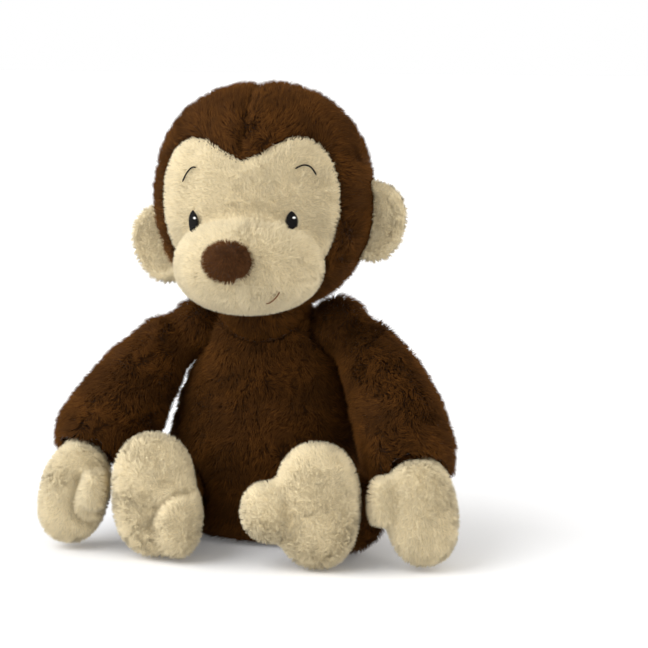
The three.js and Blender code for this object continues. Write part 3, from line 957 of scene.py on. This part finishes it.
def in_eyes(places):
    """True where the embroidered eyes leave no room for pile."""
    inside = np.zeros(len(places), bool)
    for side in SIDES:
        middle, half_width, half_height = eye_frame(side)
        up = ((places[:, 2] - middle.z) / half_height).clip(-1, 1)
        reach = np.array([drop_width(height) for height in up.tolist()])
        across = np.abs(places[:, 0] - middle.x) / half_width
        near = np.abs(places[:, 2] - middle.z) < half_height * EYE_BARE_TALL
        in_front = places[:, 1] < middle.y + EYE_BARE_DEPTH
        inside |= near & (across < reach + EYE_BARE_MARGIN) & in_front
    return inside


def bare_of(lines):
    """A test of where the face has no pile: on the eyes and along the stitched lines."""

    def bare(places):
        _, far = nearest(places, np.concatenate(lines))
        return in_eyes(places) | (far < LINE_BARE_MM * MM)

    return bare


# ---- the toy -------------------------------------------------------------------------------------
def belly_fold(points):
    """The crease across the belly, where the seated body bends forward."""
    rise = BELLY_FOLD["rise"] * np.abs(points[:, 0])
    up = (points[:, 2] - BELLY_FOLD["height"] - rise) / BELLY_FOLD["width"]
    along = np.exp(-((points[:, 0] / BELLY_FOLD["half_width"]) ** 4))
    return BELLY_FOLD["depth_mm"] * MM * np.exp(-(up**2)) * along * (points[:, 1] < 0)


def ear_ring(side):
    """Points of the line sewn round inside the ear's edge."""
    panels = Panels([f"ear_{side}_front"])
    low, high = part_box(f"ear_{side}_front")
    middle, half = (low + high) / 2, (high - low) / 2
    ring = []
    for turn in np.linspace(0, 2 * math.pi, EAR_RING_POINTS):
        x = middle.x + EAR_RING * half.x * math.cos(turn)
        z = middle.z + EAR_RING * half.z * math.sin(turn)
        place, _ = panels.in_front_of(x, z)
        if place:
            ring.append(place)
    return ring


def tuck(skin, panels, pull_mm):
    """Draws the near edge of a skin across a joint's gap, up to the panels on the other side."""
    points = points_of(skin.piece.data)
    found = [panels.tree.find_nearest(point) for point in points.tolist()]
    towards = np.array([hit[0] for hit in found]) - points
    far = np.array([hit[3] for hit in found])
    pull = np.minimum(far, pull_mm * MM * np.exp(-((far / (TUCK_REACH_MM * MM)) ** 2)))
    skin.set_points(points + unit(towards) * pull[:, None])


def crease_along(route, deepest_mm, front_y):
    """A crease along a curve through three flat points (x, z, 0), on the front of a hand or foot only."""
    curve = smooth_route(route, CREASE_STEPS)

    def fold(points):
        _, far = nearest(points[:, [0, 2, 2]] * (1, 1, 0), curve)
        depth = deepest_mm * MM * np.exp(-((far / (FOLD_WIDTH_MM * MM)) ** 2))
        return depth * (points[:, 1] < front_y)

    return fold


def make_skins():
    head_front = Panels(HEAD_PANELS)
    dart = on_surface(head_front, smooth_route(CHIN_DART, DART_STEPS), 0)
    skins = [
        Skin("head", HEAD_PANELS, ["head_stuffing"], voxel_mm=2.0, rounds=18, stitches=dart),
        Skin("nose", ["nose_pad"], body="head", voxel_mm=1.2, rounds=5),
        Skin("torso", ["torso_front", "torso_back_right", "torso_back_left", "torso_base"],
             ["torso_stuffing", "seat_bean_bag"], rounds=10),
        Skin("neck", ["neck_plug"], rounds=4, sink=False),
    ]
    for side in SIDES:
        skins += [
            Skin(f"arm_{side}", [f"arm_{side}_sleeve"], [f"arm_{side}_stuffing"]),
            Skin(f"hand_{side}", [f"hand_{side}_front", f"hand_{side}_back"], [f"hand_{side}_stuffing"],
                 voxel_mm=2.0, rounds=14),
            Skin(f"leg_{side}", [f"leg_{side}_top", f"leg_{side}_bottom"], [f"leg_{side}_stuffing"]),
            Skin(f"foot_{side}", [f"foot_{side}_sole", f"foot_{side}_upper"], [f"foot_{side}_stuffing"],
                 voxel_mm=2.0),
            Skin(f"ear_{side}", [f"ear_{side}_front", f"ear_{side}_back"], voxel_mm=1.5, rounds=5,
                 stitches=ear_ring(side)),
        ]
    return {skin.name: skin for skin in skins}


def combs():
    """How the pile of each skin is brushed."""
    ways = {
        "head": brushed_from(FACE_MIDDLE, share=0.9, plus=(0, 0.5, 0)),
        "nose": brushed_from(FACE_MIDDLE, share=0.5),
        "torso": brushed_along(0, -0.1, -1),
        "neck": brushed_along(0, 0, -1),
    }
    for side in SIDES:
        for part, (outward, y, z) in LIMB_BRUSHING.items():
            ways[f"{part}_{side}"] = brushed_along(outward * SIGN[side], y, z)
    return ways


def add_label():
    """A blank tape, folded over and caught in the seam between the base and the back."""
    low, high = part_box("care_label")
    middle = (low.x + high.x) / 2
    half_gap, steps = TAPE_HALF_GAP_MM * MM, TAPE_STEPS
    outline = [(middle - half_gap, low.y + (high.y - low.y) * k / steps) for k in range(steps)]
    outline += [(middle, high.y)]
    outline += [(middle + half_gap, y) for _, y in reversed(outline[:-1])]
    rows = np.linspace(low.z, high.z, TAPE_ROWS)
    wave = TAPE_WAVE_MM * MM * np.sin(np.linspace(0, TAPE_WAVE_TURN, TAPE_ROWS))
    points = [(x + bend, y, z) for z, bend in zip(rows, wave) for x, y in outline]
    wide = len(outline)
    faces = [
        (row * wide + k, row * wide + k + 1, (row + 1) * wide + k + 1, (row + 1) * wide + k)
        for row in range(len(rows) - 1)
        for k in range(wide - 1)
    ]
    tape = mesh_object("care_label_tape", np.array(points), np.array(faces))
    thicken = tape.modifiers.new("thickness", "SOLIDIFY")
    thicken.thickness = TAPE_THICKNESS_MM * MM
    bake_modifiers(tape)
    tape.data.materials.append(cloth_material("tape_weave", **TAPE_LOOK))
    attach(tape, "torso")
    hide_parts("care_label")


def embroider():
    """Brows, mouth and eyes; returns the routes of the brows and mouth, where no pile grows."""
    face = Panels(["face_panel", "muzzle_panel"])
    lines = [
        add_line(face, f"brow_{side}", BROW_MM, BROW_LIFT_MM, "black") for side in SIDES
    ]
    lines.append(add_line(face, "mouth_stitch", MOUTH_MM, MOUTH_LIFT_MM, "mouth"))
    for side in SIDES:
        add_eye(face, side)
    return lines


def close_gaps(skins):
    """Draws the ears' edges up to the head, and the cuffs in to the hands."""
    head = Panels(HEAD_PANELS)
    for side in SIDES:
        tuck(skins[f"ear_{side}"], head, EAR_TUCK_MM)
        tuck(skins[f"arm_{side}"], Panels([f"hand_{side}_front", f"hand_{side}_back"]), CUFF_TUCK_MM)


def cover(skins, lines):
    folds = {
        "torso": [belly_fold],
        "foot_right": [crease_along(**TOE_CREASE)],
        "hand_right": [crease_along(**THUMB_CREASE)],
    }
    ways = combs()
    for number, (name, skin) in enumerate(skins.items()):
        skin.sew(folds.get(name, []))
        skin.declare()
        grow_pile(skin, ways[name], SEED_STEP * (number + 1), bare_of(lines) if name == "head" else None)


add_camera()
add_world()
for name, sun in SUNS.items():
    add_sun(name, **sun)
add_floor()
skins = make_skins()
puff([skin for name, skin in skins.items() if name not in FIRM_SKINS])
lines = embroider()
add_label()
close_gaps(skins)
cover(skins, lines)
